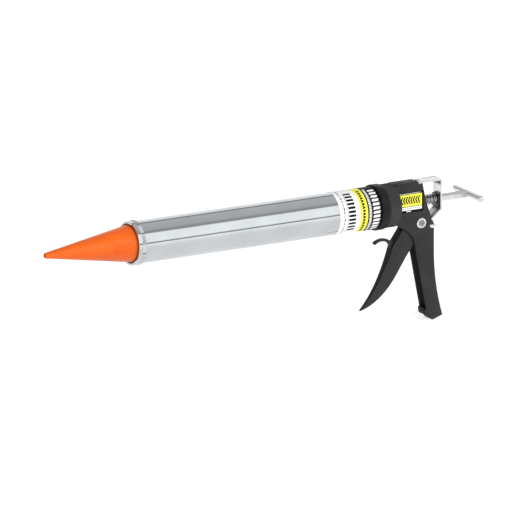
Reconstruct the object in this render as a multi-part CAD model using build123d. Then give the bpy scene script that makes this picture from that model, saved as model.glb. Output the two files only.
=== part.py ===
from build123d import *
import math
import os

# Bulk caulking gun. The axis of the barrel and rod is X: the nozzle's outlet is the origin,
# +X runs back to the pull handle, +Z is up and Y = 0 halves the grip. All sizes in mm.

# ---- driving dimensions -------------------------------------------------------------------

# nozzle
nozzle_length = 112.0           # outlet to the front face of the cap
nozzle_tip_od = 6.8
nozzle_base_inset = 3.4         # cone's base inside the barrel's outside, on the radius
nozzle_wall = 2.0
nozzle_flange_thickness = 2.2
outlet_bore = 3.4
outlet_straight = 8.0           # parallel stretch behind the outlet, before the cone opens
tip_rounding = 0.9

# front cap and gasket
cap_length = 10.0
cap_lip_thickness = 1.3
cap_wall = 0.9
cap_knurl_height = 0.3
cap_knurl_width = 4.4
cap_knurl_inset = 0.7           # plain land behind the knurl
cap_ledge = 1.9                 # how far the lip reaches in over the barrel's wall
gasket_thickness = 1.0

# barrel
barrel_od = 50.8
barrel_wall = 0.9
barrel_length = 332.4
label_length = 56.6
label_thickness = 0.2

# rear collar: a lip round the barrel's end, then a ribbed sleeve on the handle's boss
collar_lip_length = 11.0
collar_lip_wall = 2.1
collar_sleeve_length = 16.0
collar_sleeve_wall = 3.1
collar_step = 1.6               # floor of the lip's socket, behind the barrel's end
swivel_washer_thickness = 0.8
retaining_ring_section = 1.6
retaining_ring_gap_angle = 24.0
collar_chamfer = 1.0
boss_inset = 2.4                # handle's boss inside the barrel's outside, on the radius

# rod and pull handle
rod_across_flats = 8.0
rod_tail = 37.3                 # frame's rear face to the pull bar's front
rod_thread_od = 6.6
t_bar_od = 8.0
t_bar_length = 62.0
t_bar_tenon_od = 4.6

# piston
piston_setback = 12.0           # front end of the rod behind the cap's front face
piston_nut_across_flats = 13.0
piston_nut_height = 6.0
piston_front_washer_inset = 3.5  # on the radius, inside the barrel's bore
piston_washer_thickness = 2.0
piston_cup_length = 10.0
piston_cup_wall = 2.4
piston_cup_lip = 3.0            # how far the rim stands in front of the cup's floor
piston_cup_chamfer = 0.8
piston_rear_washer_inset = 2.0
piston_clearance = 0.25

# handle casting
housing_width = 17.5
housing_wall = 2.0
housing_top_web = 4.5
housing_back_web = 2.8
housing_front_wall = 3.0
box_length = 37.0               # collar to the box's top rear corner
box_front_drop = 22.0           # lower end of the box's front face below the rod's axis
grip_floor_drop = 131.0         # foot of the channel below the rod's axis
boss_length = 14.0
bush_od = 14.0
bush_flange_od = 18.0
bush_flange_thickness = 1.5
side_label_length = 34.2
side_label_height = 24.6
side_label_thickness = 0.2
side_label_setback = 4.0
side_label_drop = 10.0

# trigger pivot
pivot_back = 35.5               # collar's rear face to the pivot
pivot_drop = 24.9               # pivot below the rod's axis
pivot_bolt_od = 5.0
pivot_bush_wall = 1.5
pivot_washer_od = 13.0
pivot_washer_height = 1.5
pivot_washer_floor = 0.5
pivot_head_od = 7.8
pivot_head_height = 1.3
pivot_nut_height = 2.4

# trigger
trigger_side_clearance = 0.25
trigger_tip_width = 3.0
trigger_taper_top = 45.0        # below the rod's axis, where the lever starts to narrow
trigger_tip_drop = 124.0        # tip of the lever below the rod's axis
trigger_wall = 2.2
trigger_web = 2.6
trigger_boss_radius = 7.5
roller_od = 6.4
roller_to_rod = 0.6812          # between the roller and the rod's lower corner
roller_pin_od = 2.6
roller_ear_inset = 0.5          # the ears stay inside the roller's face
roller_ear_foot = 4.5           # half width of the ears where they join the boss
hook_width = 5.0
trigger_travel = 32.0           # degrees

# drive plates and springs
drive_plate_thickness = 3.0
drive_plate_rise = 12.0
drive_plate_drop = 12.5
drive_plate_count = 2
drive_gap = 0.4                 # roller to the plates
spring_wire = 1.3
drive_spring_turns = 7.0
brake_spring_turns = 4.5

# rear frame and brake
frame_thickness = 2.0
frame_back = 63.8               # collar's rear face to the frame's rear face
frame_plate_drop = 11.8         # lower end of the upright plate below the rod's axis
frame_strap_start = 32.0
frame_leg_end = 49.5
frame_leg_run = 11.0            # the leg falls frame_leg_fall for each frame_leg_run forward
frame_leg_fall = 8.9
frame_screw_od = 3.0
frame_screw_head_od = 5.6
frame_screw_head_height = 1.2
brake_plate_thickness = 2.0
brake_plate_rise = 6.2
brake_plate_width = 15.0
brake_gap = 0.6                 # brake plate to the frame's upright plate
brake_shoulder = 2.0            # plate's wide part ends this far above the frame's knee
brake_spring_setback = 5.0      # box's top rear corner to the spring's seat
lever_width = 8.0
lever_gap = 0.5                 # shank to the frame's leg
lever_shank_back = 44.5         # collar's rear face to the shank's front
thumb_pad_side_clearance = 0.25
thumb_pad_root = 47.5           # collar's rear face to the pad's root, and to its tip
thumb_pad_tip = 58.0
thumb_pad_top = 28.0            # top and foot of the pad below the rod's axis
thumb_pad_foot = 32.2
thumb_pad_slope = 2.6           # how far the pad falls from its root to its tip
lever_slot_top = 9.0            # shank's slot below the rod's axis
lever_swing = 2.0               # room above the pad inside the grip

# clearances
seat = 0.02                     # between pieces fixed together
running = 0.06                  # radial, between pieces that turn or slide
gap = 0.3                       # between pieces that pass each other
rod_clearance = 0.08            # radial, round the rod's corners

# ---- positions worked out from them -------------------------------------------------------

barrel_radius = barrel_od / 2
barrel_bore = barrel_radius - barrel_wall
nozzle_base_radius = barrel_radius - nozzle_base_inset
cap_front = nozzle_length
cap_bore = barrel_radius + running
flange_front = cap_front + cap_lip_thickness + seat
gasket_front = flange_front + nozzle_flange_thickness + seat
barrel_front = gasket_front + gasket_thickness + seat
barrel_rear = barrel_front + barrel_length
collar_front = barrel_rear + seat + collar_step - collar_lip_length
collar_lip_radius = barrel_radius + collar_lip_wall
boss_radius = barrel_radius - boss_inset
sleeve_bore = boss_radius + running
sleeve_radius = boss_radius + running + collar_sleeve_wall
collar_rear = collar_front + collar_lip_length + collar_sleeve_length
housing_front = collar_rear + gap
boss_front = housing_front - boss_length
ring_centre = housing_front - boss_length / 2
housing_top = barrel_radius
half_width = housing_width / 2
half_cavity = half_width - housing_wall
trigger_width = 2 * (half_cavity - trigger_side_clearance)
thumb_pad_width = 2 * (half_cavity - thumb_pad_side_clearance)

rod_corner_radius = rod_across_flats / 2 / math.cos(math.pi / 6)
rod_hole_radius = rod_corner_radius + rod_clearance
rod_front = cap_front + piston_setback
nut_front = rod_front + 1.0
front_washer_front = nut_front + piston_nut_height + seat
cup_front = front_washer_front + piston_washer_thickness + seat
rear_washer_front = cup_front + piston_cup_length + seat
rod_shoulder = rear_washer_front + piston_washer_thickness + seat

pivot_x = housing_front + pivot_back
pivot_z = -pivot_drop
roller_z = -rod_corner_radius - roller_to_rod - roller_od / 2
drive_plates_rear = pivot_x - roller_od / 2 - drive_gap
drive_plates_front = drive_plates_rear - drive_plate_count * drive_plate_thickness
cavity_front = housing_front + housing_front_wall
spring_radius = rod_corner_radius + gap + spring_wire / 2
brake_spring_seat = housing_front + box_length + brake_spring_setback
frame_rear = housing_front + frame_back
frame_front_face = frame_rear - frame_thickness
rod_rear = frame_rear + rod_tail
t_bar_x = rod_rear + t_bar_od / 2
brake_rear = frame_front_face - brake_gap
brake_front = brake_rear - brake_plate_thickness


# ---- shared shapes ------------------------------------------------------------------------

def place(x, z):
    """A point given from the housing's front face and the rod's axis."""
    return (housing_front + x, z)


def profile(*edges):
    """A face in the XZ plane inside the given edges."""
    return Plane.XZ * make_face(Curve() + list(edges))


def polygon(*points):
    return Plane.XZ * make_face(Polyline(*points, close=True))


def slab(face, width, y=0.0):
    """A face of the XZ plane given a width along Y, centred on y."""
    return Pos(0, y, 0) * extrude(face, amount=width / 2, both=True)


def block(x0, x1, y0, y1, z0, z1):
    return Pos((x0 + x1) / 2, (y0 + y1) / 2, (z0 + z1) / 2) * Box(x1 - x0, y1 - y0, z1 - z0)


def turned(*points):
    """A solid turned about the X axis from points given as (x, radius)."""
    return revolve(polygon(*points), Axis.X)


def round_bar(x0, x1, radius, z=0.0):
    return Pos((x0 + x1) / 2, 0, z) * Rot(0, 90, 0) * Cylinder(radius, x1 - x0)


def cross_bar(x, z, radius, y0, y1):
    """A round bar along Y."""
    return Pos(x, (y0 + y1) / 2, z) * Rot(90, 0, 0) * Cylinder(radius, y1 - y0)


def hex_bar(x0, x1, across_flats):
    """A hexagonal bar on the X axis with flats facing +Y and -Y."""
    corner = across_flats / 2 / math.cos(math.pi / 6)
    section = Plane.YZ * RegularPolygon(corner, 6, major_radius=True, rotation=90)
    return Pos(x0, 0, 0) * extrude(section, amount=x1 - x0)


def ring(x0, x1, inner, outer):
    return turned((x0, inner), (x1, inner), (x1, outer), (x0, outer))


def coil(x0, x1, turns):
    """A compression spring of round wire on the X axis, between two flat seats."""
    length = x1 - x0 - spring_wire
    start = x0 + spring_wire / 2
    helix = Helix(pitch=length / turns, height=length, radius=spring_radius)
    path = Pos(start, 0, 0) * Rot(0, 90, 0) * helix
    section = Plane(origin=path @ 0, z_dir=path % 0) * Circle(spring_wire / 2)
    return sweep(section, path=path, is_frenet=True)


# ---- front end ----------------------------------------------------------------------------

def nozzle():
    tip = nozzle_tip_od / 2
    base = nozzle_base_radius
    bore = outlet_bore / 2
    flange_rear = flange_front + nozzle_flange_thickness
    return turned((0, bore), (outlet_straight, bore), (flange_rear, base - nozzle_wall),
                  (flange_rear, barrel_radius - gap), (flange_front, barrel_radius - gap),
                  (flange_front, base), (cap_front, base), (tip_rounding, tip),
                  (0, tip - tip_rounding))


def front_cap():
    smooth = cap_bore + cap_wall
    knurled = smooth + cap_knurl_height
    opening = barrel_radius - cap_ledge
    rear = cap_front + cap_length
    knurl_rear = rear - cap_knurl_inset
    knurl_front = knurl_rear - cap_knurl_width
    edge = cap_knurl_height
    return turned((cap_front, opening), (cap_front + cap_lip_thickness, opening),
                  (cap_front + cap_lip_thickness, cap_bore), (rear, cap_bore), (rear, smooth),
                  (knurl_rear, smooth), (knurl_rear, knurled), (knurl_front, knurled),
                  (knurl_front, smooth), (cap_front + edge, smooth), (cap_front, smooth - edge))


def nozzle_gasket():
    return ring(gasket_front, gasket_front + gasket_thickness,
                nozzle_base_radius - nozzle_wall, barrel_radius - gap)


# ---- barrel -------------------------------------------------------------------------------

def barrel_tube():
    return ring(barrel_front, barrel_rear, barrel_bore, barrel_radius)


def barrel_label():
    rear = collar_front - gap
    return ring(rear - label_length, rear, barrel_radius + seat,
                barrel_radius + seat + label_thickness)


def rear_collar():
    """Socket for the barrel, a step behind it, and a sleeve that turns on the boss."""
    socket = barrel_radius + seat
    lip_rear = collar_front + collar_lip_length
    step_rear = barrel_rear + seat + collar_step
    edge = collar_chamfer
    body = turned((collar_front, socket), (barrel_rear + seat, socket),
                  (barrel_rear + seat, barrel_bore - gap), (step_rear, barrel_bore - gap),
                  (step_rear, sleeve_bore), (collar_rear, sleeve_bore),
                  (collar_rear, sleeve_radius), (lip_rear, sleeve_radius),
                  (lip_rear, collar_lip_radius - edge), (lip_rear - edge, collar_lip_radius),
                  (collar_front + edge, collar_lip_radius),
                  (collar_front, collar_lip_radius - edge))
    half_groove = retaining_ring_section / 2 + running
    groove = ring(ring_centre - half_groove, ring_centre + half_groove, sleeve_bore - gap,
                  boss_radius + retaining_ring_section / 2 + gap / 2)
    return body - groove


def swivel_washer():
    rear = boss_front - running
    return ring(rear - swivel_washer_thickness, rear, bush_flange_od / 2 + gap,
                boss_radius - gap)


def retaining_ring():
    half = retaining_ring_section / 2
    hoop = ring(ring_centre - half, ring_centre + half, boss_radius - half, boss_radius + half)
    reach = barrel_radius
    spread = reach * math.tan(math.radians(retaining_ring_gap_angle / 2))
    return hoop - block(ring_centre - half, ring_centre + half, -spread, spread, 0, reach)


# ---- handle -------------------------------------------------------------------------------

def housing_outline():
    """Side view of the box and grip: box, slanted rear edge, grip, foot and trigger recess."""
    box_top_rear = place(box_length, housing_top)
    heel_of_hand = place(53, -28)
    grip_back = place(53, -60)
    foot_rear = place(65, -141)
    foot_front = place(51.2, -145.6)
    grip_front_low = place(43, -grip_floor_drop)
    grip_front_high = place(27, -50)
    recess_end = place(5.3, -26.5)
    chin = place(0, -box_front_drop)
    return profile(
        Line(place(0, housing_top), box_top_rear),
        ThreePointArc(box_top_rear, place(42.7, 0), heel_of_hand),
        Line(heel_of_hand, grip_back),
        ThreePointArc(grip_back, place(56.5, -104), foot_rear),
        Line(foot_rear, foot_front),
        Line(foot_front, place(48.4, -142.6)),
        Line(place(48.4, -142.6), place(47.8, -138.9)),
        ThreePointArc(place(47.8, -138.9), place(44.5, -140.2), place(41.8, -137.2)),
        Line(place(41.8, -137.2), place(41.3, -131.6)),
        Line(place(41.3, -131.6), grip_front_low),
        Line(grip_front_low, grip_front_high),
        ThreePointArc(grip_front_high, place(18.6, -35), recess_end),
        Line(recess_end, chin),
        Line(chin, place(0, housing_top)))


def frame_outline(extra=0.0):
    """Side view of the rear frame: top strap, upright plate and slanted leg."""
    t = frame_thickness
    along = math.hypot(frame_leg_run, frame_leg_fall)
    out_x = frame_leg_fall / along * t
    out_z = frame_leg_run / along * t
    slope = frame_leg_fall / frame_leg_run
    strap_front = housing_front + frame_strap_start - extra
    leg_end = housing_front + frame_leg_end - extra
    leg_low = -frame_plate_drop - extra
    lower_end_z = leg_low - (frame_rear - leg_end) * slope
    inner_x = frame_rear - t - extra
    knee_z = leg_low + out_z + (t - out_x) * -slope + extra
    return polygon((strap_front, housing_top), (frame_rear, housing_top),
                   (frame_rear, leg_low), (leg_end, lower_end_z),
                   (leg_end, lower_end_z + out_z + out_x * slope + 2 * extra),
                   (inner_x, knee_z), (inner_x, housing_top - t - extra),
                   (strap_front, housing_top - t - extra))


def handle_housing():
    """Boss for the collar, box round the drive and channel grip, in one casting."""
    body = slab(housing_outline(), housing_width)
    boss = round_bar(boss_front, housing_front, boss_radius)
    front_disc = block(housing_front, housing_front + housing_front_wall,
                       -half_width, half_width, -box_front_drop, housing_top)
    # the channel is open to the front and closed by the top, back and foot
    inside = Pos(-housing_back_web, 0, -housing_top_web) * housing_outline()
    cavity = slab(inside, 2 * half_cavity)
    side = housing_width
    cavity -= block(boss_front, cavity_front, -side, side, -grip_floor_drop, 2 * housing_top)
    cavity -= block(boss_front, pivot_x + housing_top * 2, -side, side,
                    -2 * grip_floor_drop, -grip_floor_drop)
    body -= cavity
    body += boss + front_disc
    body -= round_bar(boss_front - 1, cavity_front + 1, bush_od / 2 + seat)
    body -= round_bar(boss_front - 1, boss_front + bush_flange_thickness + seat,
                      bush_flange_od / 2 + seat)
    groove = ring(ring_centre - retaining_ring_section / 2 - running,
                  ring_centre + retaining_ring_section / 2 + running,
                  boss_radius - retaining_ring_section / 2 - seat, boss_radius + 1)
    body -= groove
    # room for the drive spring between the walls
    body -= round_bar(cavity_front, pivot_x, spring_radius + spring_wire / 2 + gap)
    # rod hole and spring seat in the slanted back, slot for the release lever
    body -= round_bar(pivot_x, frame_rear, rod_corner_radius + gap)
    body -= round_bar(brake_spring_seat, frame_rear, spring_radius + spring_wire / 2 + gap)
    lever_half = lever_width / 2 + gap
    slot_front = pivot_x + trigger_boss_radius
    slot_low = -thumb_pad_foot - lever_swing
    body -= block(slot_front, frame_rear, -lever_half, lever_half, slot_low, -lever_slot_top)
    body -= block(slot_front, frame_rear, -half_cavity, half_cavity, slot_low,
                  -thumb_pad_top + lever_swing)
    body -= block(housing_front + thumb_pad_root, frame_rear, -half_width, half_width,
                  -thumb_pad_foot - lever_swing / 2, -thumb_pad_top - lever_swing / 2)
    body -= slab(frame_outline(seat), housing_width + 2)
    body -= cross_bar(pivot_x, pivot_z, pivot_bolt_od / 2 + seat, -half_width - 1, half_width + 1)
    return body - frame_screw_hole()


def frame_screw_x():
    return housing_front + (frame_strap_start + box_length) / 2


def frame_screw_hole():
    return Pos(frame_screw_x(), 0, housing_top) * Cylinder(frame_screw_od / 2 + seat,
                                                           3 * housing_top_web)


def side_label():
    x0 = housing_front + side_label_setback
    z0 = -side_label_drop
    return block(x0, x0 + side_label_length, -half_width - seat - side_label_thickness,
                 -half_width - seat, z0, z0 + side_label_height)


def front_bush():
    flange_rear = boss_front + bush_flange_thickness
    return turned((boss_front, rod_hole_radius), (cavity_front, rod_hole_radius),
                  (cavity_front, bush_od / 2), (flange_rear, bush_od / 2),
                  (flange_rear, bush_flange_od / 2), (boss_front, bush_flange_od / 2))


def along_pivot(shape):
    """Turn a shape made along +Z from z = 0 so that it stands out of the housing's -Y side."""
    return Pos(pivot_x, -half_width - seat, pivot_z) * Rot(90, 0, 0) * shape


def mirrored(shape):
    return mirror(shape, Plane.XZ)


def pivot_washer():
    inner = pivot_bolt_od / 2 + seat
    cup = pivot_head_od / 2 + seat
    outer = pivot_washer_od / 2
    half = pivot_washer_height / 2
    floor = pivot_washer_floor
    face = polygon((inner, 0), (outer, 0), (outer, half), (outer - half, pivot_washer_height),
                   (cup, pivot_washer_height), (cup, floor), (inner, floor))
    return revolve(face, Axis.Z)


def pivot_washers():
    near = along_pivot(pivot_washer())
    return [near, mirrored(near)]


def pivot_bolt():
    floor = pivot_washer_floor + seat
    height = pivot_head_height
    head = Pos(0, 0, floor + height / 2) * Cylinder(pivot_head_od / 2, height)
    head -= Pos(0, 0, floor + height) * Box(pivot_head_od + 1, 1.1, height)
    seat_y = half_width + seat + floor
    shank = cross_bar(pivot_x, pivot_z, pivot_bolt_od / 2, -seat_y - height / 4,
                      seat_y + pivot_nut_height + seat)
    return along_pivot(head) + shank


def pivot_nut():
    floor = pivot_washer_floor + seat
    body = extrude(RegularPolygon(pivot_head_od / 2, 6), amount=pivot_nut_height)
    body -= Cylinder(pivot_bolt_od / 2 + seat, 4 * pivot_nut_height)
    return mirrored(along_pivot(Pos(0, 0, floor) * body))


def pivot_bush():
    length = half_cavity - seat
    outer = pivot_bolt_od / 2 + pivot_bush_wall
    sleeve = cross_bar(pivot_x, pivot_z, outer, -length, length)
    return sleeve - cross_bar(pivot_x, pivot_z, pivot_bolt_od / 2 + seat, -length - 1, length + 1)


def rear_frame():
    """Bent strap: screwed on the box's top, upright behind it, its leg let into the grip."""
    body = slab(frame_outline(), housing_width)
    body -= hex_bar(frame_front_face - 1, frame_rear + 1, rod_across_flats + 2 * rod_clearance)
    return body - frame_screw_hole()


def frame_screw():
    height = frame_screw_head_height
    length = housing_top_web
    at_top = Pos(frame_screw_x(), 0, housing_top + seat)
    head = at_top * Pos(0, 0, height / 2) * Cylinder(frame_screw_head_od / 2, height)
    head -= at_top * Pos(0, 0, height) * Box(frame_screw_head_od + 1, 0.9, height)
    shank = at_top * Pos(0, 0, height / 4 - length / 2) * Cylinder(frame_screw_od / 2, length)
    return head + shank


# ---- trigger ------------------------------------------------------------------------------

def trigger_outline():
    """Side view of the lever: bowed front, hollow rear edge, boss at the pivot."""
    brow = place(9.5, -34)
    hook_root = place(-1, -48.5)
    tip = place(-43.8, -trigger_tip_drop)
    heel = place(26, -51.5)
    return profile(
        Line(place(17, -23), brow),
        Line(brow, hook_root),
        Spline(hook_root, place(-8.7, -69), place(-21, -94), tip),
        Spline(tip, place(-32, -120), place(-16.3, -109.9), place(-5.4, -99),
               place(6.4, -82), place(16.7, -64.8), heel),
        Line(heel, place(pivot_back - 2, pivot_z - trigger_boss_radius)),
        Line(place(pivot_back - 2, pivot_z - trigger_boss_radius), place(pivot_back, pivot_z)),
        Line(place(pivot_back, pivot_z), place(17, -23)))


def hook_outline():
    """Side view of the hanging hook: a finger that curls forward and down."""
    root_top = place(1, -46)
    end_top = place(-25.3, -43.6)
    end_low = place(-23.7, -46)
    root_low = place(-2, -53)
    return profile(
        ThreePointArc(root_top, place(-14, -39.7), end_top),
        Line(end_top, end_low),
        ThreePointArc(end_low, place(-14, -42.4), root_low),
        Line(root_low, root_top))


def trigger_taper(inset):
    """The lever seen along X: full width at the pivot, narrow at the tip, inset all round."""
    half = trigger_width / 2 - inset
    tip_half = max(trigger_tip_width / 2 - inset, seat)
    fall = (trigger_width - trigger_tip_width) / 2 / (trigger_tip_drop - trigger_taper_top)
    low = min(trigger_tip_drop, trigger_taper_top + (half - tip_half) / fall)
    outline = Plane.YZ * make_face(Polyline(
        (-half, 0), (half, 0), (half, -trigger_taper_top), (tip_half, -low),
        (-tip_half, -low), (-half, -trigger_taper_top), close=True))
    return extrude(Pos(pivot_x, 0, 0) * outline, amount=trigger_tip_drop, both=True)


def trigger():
    body = slab(trigger_outline(), trigger_width) & trigger_taper(0)
    body += cross_bar(pivot_x, pivot_z, trigger_boss_radius, -trigger_width / 2, trigger_width / 2)
    ear = roller_od / 2 - roller_ear_inset
    foot = roller_ear_foot
    body += slab(polygon((pivot_x - ear, roller_z), (pivot_x + ear, roller_z),
                         (pivot_x + foot, pivot_z), (pivot_x - foot, pivot_z)), trigger_width)
    body += cross_bar(pivot_x, roller_z, ear, -trigger_width / 2, trigger_width / 2)
    # the lever is a channel: its front web stays, the rear is open
    half = trigger_width / 2 - trigger_wall
    reach = trigger_boss_radius + gap
    inside = slab(Pos(trigger_web, 0, -trigger_web / 2) * trigger_outline(), trigger_width)
    pocket = inside & trigger_taper(trigger_wall)
    pocket += cross_bar(pivot_x, pivot_z, reach, -half, half)
    pocket += block(pivot_x - reach, pivot_x + reach, -half, half, pivot_z, roller_z + roller_od)
    body -= pocket
    body += slab(hook_outline(), hook_width)
    bush_radius = pivot_bolt_od / 2 + pivot_bush_wall
    side = trigger_width
    body -= cross_bar(pivot_x, pivot_z, bush_radius + running, -side, side)
    body -= cross_bar(pivot_x, roller_z, roller_pin_od / 2 + seat, -side, side)
    return body


def trigger_roller():
    half = trigger_width / 2 - trigger_wall - gap
    roller = cross_bar(pivot_x, roller_z, roller_od / 2, -half, half)
    return roller - cross_bar(pivot_x, roller_z, roller_pin_od / 2 + running, -half - 1, half + 1)


def roller_pin():
    half = trigger_width / 2
    return cross_bar(pivot_x, roller_z, roller_pin_od / 2, -half, half)


# ---- drive and brake ----------------------------------------------------------------------

def drive_plates():
    plates = []
    half = half_cavity - gap
    for index in range(drive_plate_count):
        x0 = drive_plates_front + index * drive_plate_thickness + seat / 2
        x1 = drive_plates_front + (index + 1) * drive_plate_thickness - seat / 2
        plate = block(x0, x1, -half, half, -drive_plate_drop, drive_plate_rise)
        plate = fillet(plate.edges().filter_by(Axis.X), 2.0)
        plates.append(plate - round_bar(x0 - 1, x1 + 1, rod_hole_radius))
    return plates


def drive_spring():
    return coil(cavity_front + seat, drive_plates_front - seat, drive_spring_turns)


def brake_spring():
    return coil(brake_spring_seat + seat, brake_front - seat, brake_spring_turns)


def lever_outline():
    """Side view of the release lever: brake plate, slanted shank along the leg, thumb pad."""
    slope = frame_leg_fall / frame_leg_run
    along = math.hypot(frame_leg_run, frame_leg_fall)
    lift = (frame_thickness + lever_gap) * along / frame_leg_run
    shank_lift = brake_plate_thickness * along / frame_leg_run

    def low(x):
        return -frame_plate_drop + lift - (frame_rear - x) * slope

    def high(x):
        return low(x) + shank_lift

    shank_front = housing_front + lever_shank_back
    shank_rear = shank_front + brake_plate_thickness
    pad_root = (housing_front + thumb_pad_root, -thumb_pad_top)
    pad_hollow = (pad_root[0] + 0.3 * (thumb_pad_tip - thumb_pad_root),
                  pad_root[1] - 0.7 * thumb_pad_slope)
    pad_tip = (housing_front + thumb_pad_tip, -thumb_pad_top - thumb_pad_slope)
    pad_heel = (pad_tip[0] - 0.6, -thumb_pad_foot)
    return profile(
        Line((brake_rear, brake_plate_rise), (brake_rear, low(brake_rear))),
        Line((brake_rear, low(brake_rear)), (shank_rear, low(shank_rear))),
        Line((shank_rear, low(shank_rear)), (shank_rear, -thumb_pad_top)),
        Line((shank_rear, -thumb_pad_top), pad_root),
        ThreePointArc(pad_root, pad_hollow, pad_tip),
        Line(pad_tip, pad_heel),
        Line(pad_heel, (shank_front, -thumb_pad_foot)),
        Line((shank_front, -thumb_pad_foot), (shank_front, high(shank_front))),
        Line((shank_front, high(shank_front)), (brake_front, high(brake_front))),
        Line((brake_front, high(brake_front)), (brake_front, brake_plate_rise)),
        Line((brake_front, brake_plate_rise), (brake_rear, brake_plate_rise)))


def release_lever():
    body = slab(lever_outline(), brake_plate_width)
    side = brake_plate_width / 2
    shank = lever_width / 2
    pad = thumb_pad_width / 2
    shank_front = housing_front + lever_shank_back
    pad_front = housing_front + thumb_pad_root - lever_swing / 2
    shoulder = -frame_plate_drop + brake_shoulder
    low = -thumb_pad_foot
    keep = block(brake_front, brake_rear, -side, side, shoulder, brake_plate_rise)
    keep += block(pad_front, frame_rear, -pad, pad, low, -thumb_pad_top)
    keep += block(shank_front, frame_rear, -shank, shank, low, 0)
    hole = round_bar(brake_front - 1, brake_rear + 1, rod_hole_radius + gap)
    return (body & keep) - hole


# ---- rod and piston -----------------------------------------------------------------------

def rod():
    """Hexagonal bar, turned down for the piston in front and for the tenon behind."""
    body = hex_bar(rod_shoulder, rod_rear + t_bar_od / 5, rod_across_flats)
    body += round_bar(rod_front, rod_shoulder + 0.5, rod_thread_od / 2)
    body -= cross_bar(t_bar_x, 0, t_bar_od / 2 + seat, -rod_across_flats, rod_across_flats)
    body += round_bar(rod_rear - 1, t_bar_x + t_bar_od / 2, t_bar_tenon_od / 2)
    return body


def t_bar():
    half = t_bar_length / 2
    bar = cross_bar(t_bar_x, 0, t_bar_od / 2, -half, half)
    bar = chamfer(bar.edges().filter_by(GeomType.CIRCLE), 0.6)
    return bar - round_bar(rod_rear - 2, t_bar_x + t_bar_od, t_bar_tenon_od / 2 + seat)


def piston_nut():
    body = hex_bar(nut_front, nut_front + piston_nut_height, piston_nut_across_flats)
    return body - round_bar(nut_front - 1, front_washer_front + 1, rod_thread_od / 2 + seat)


def piston_front_washer():
    return ring(front_washer_front, front_washer_front + piston_washer_thickness,
                rod_thread_od / 2 + seat, barrel_bore - piston_front_washer_inset)


def piston_cup():
    """Cup washer whose rim wipes the barrel, open to the front."""
    outer = barrel_bore - piston_clearance
    rear = cup_front + piston_cup_length
    inner = outer - piston_cup_wall
    rim = cup_front - piston_cup_lip
    edge = piston_cup_chamfer
    return turned((cup_front, rod_thread_od / 2 + seat), (rear, rod_thread_od / 2 + seat),
                  (rear, outer - edge), (rear - edge, outer), (rim, outer),
                  (rim, inner + edge), (cup_front, inner))


def piston_rear_washer():
    return ring(rear_washer_front, rear_washer_front + piston_washer_thickness,
                rod_thread_od / 2 + seat, barrel_bore - piston_rear_washer_inset)


# ---- write one file per piece -------------------------------------------------------------

pieces = [nozzle, front_cap, nozzle_gasket, barrel_tube, barrel_label, rear_collar,
          swivel_washer, retaining_ring, handle_housing, side_label, front_bush, pivot_bolt,
          pivot_nut, pivot_washers, pivot_bush, rear_frame, frame_screw, trigger,
          trigger_roller, roller_pin, drive_plates, drive_spring, release_lever, brake_spring,
          rod, t_bar, piston_nut, piston_front_washer, piston_cup, piston_rear_washer]

os.makedirs("parts", exist_ok=True)
for piece in pieces:
    shape = piece()
    if isinstance(shape, list):
        shape = Compound(children=shape)
    export_step(shape, "parts/" + piece.__name__ + ".step")
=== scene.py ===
from math import atan2, cos, pi, radians, sin

import bmesh
import bpy
from mathutils import Matrix, Vector


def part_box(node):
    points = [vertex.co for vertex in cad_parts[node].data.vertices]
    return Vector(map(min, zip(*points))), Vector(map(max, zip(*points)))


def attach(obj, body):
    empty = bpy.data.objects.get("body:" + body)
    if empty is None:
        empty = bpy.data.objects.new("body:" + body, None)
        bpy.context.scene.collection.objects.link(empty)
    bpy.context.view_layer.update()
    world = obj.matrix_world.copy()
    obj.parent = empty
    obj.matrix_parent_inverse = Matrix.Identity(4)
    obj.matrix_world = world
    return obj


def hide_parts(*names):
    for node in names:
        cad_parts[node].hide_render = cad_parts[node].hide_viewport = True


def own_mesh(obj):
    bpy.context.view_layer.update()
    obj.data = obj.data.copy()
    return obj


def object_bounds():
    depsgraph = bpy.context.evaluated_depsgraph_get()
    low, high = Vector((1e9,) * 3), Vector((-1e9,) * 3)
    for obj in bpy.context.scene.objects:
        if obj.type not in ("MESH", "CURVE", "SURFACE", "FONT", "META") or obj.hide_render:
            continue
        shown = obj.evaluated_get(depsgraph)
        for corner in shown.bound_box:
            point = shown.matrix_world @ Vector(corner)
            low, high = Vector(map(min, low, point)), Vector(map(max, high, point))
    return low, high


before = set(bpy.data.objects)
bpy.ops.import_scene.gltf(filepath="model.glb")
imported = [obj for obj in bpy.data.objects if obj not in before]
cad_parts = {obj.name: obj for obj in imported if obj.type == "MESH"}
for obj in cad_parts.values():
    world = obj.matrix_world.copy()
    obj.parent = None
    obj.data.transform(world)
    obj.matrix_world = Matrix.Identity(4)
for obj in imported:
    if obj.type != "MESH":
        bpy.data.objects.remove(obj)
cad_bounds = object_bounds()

# ---- Nozzle ---------------------------------------------------------------------------------
# A hollow cone moulded in orange polyethylene, glossy from the polished mould, with a rounded
# tip and a wide base flange that the ring cap clamps against the barrel.

mm = 0.001
nozzle_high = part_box("nozzle")[1]
cap_low, cap_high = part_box("front_cap")
nozzle_base_radius = 22.0 * mm
nozzle_tip_radius = 3.4 * mm
nozzle_outlet_radius = 1.7 * mm
nozzle_wall = 2.0 * mm
nozzle_flange = 2.2 * mm
nozzle_edge = 0.25 * mm


def new_material(name, color, roughness, metallic=0.0):
    """A node material with its plain values set on the shader's own sockets."""
    material = bpy.data.materials.new(name)
    material.use_nodes = True
    shader = material.node_tree.nodes["Principled BSDF"]
    shader.inputs["Base Color"].default_value = (*color, 1)
    shader.inputs["Roughness"].default_value = roughness
    shader.inputs["Metallic"].default_value = metallic
    return material, shader


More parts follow.
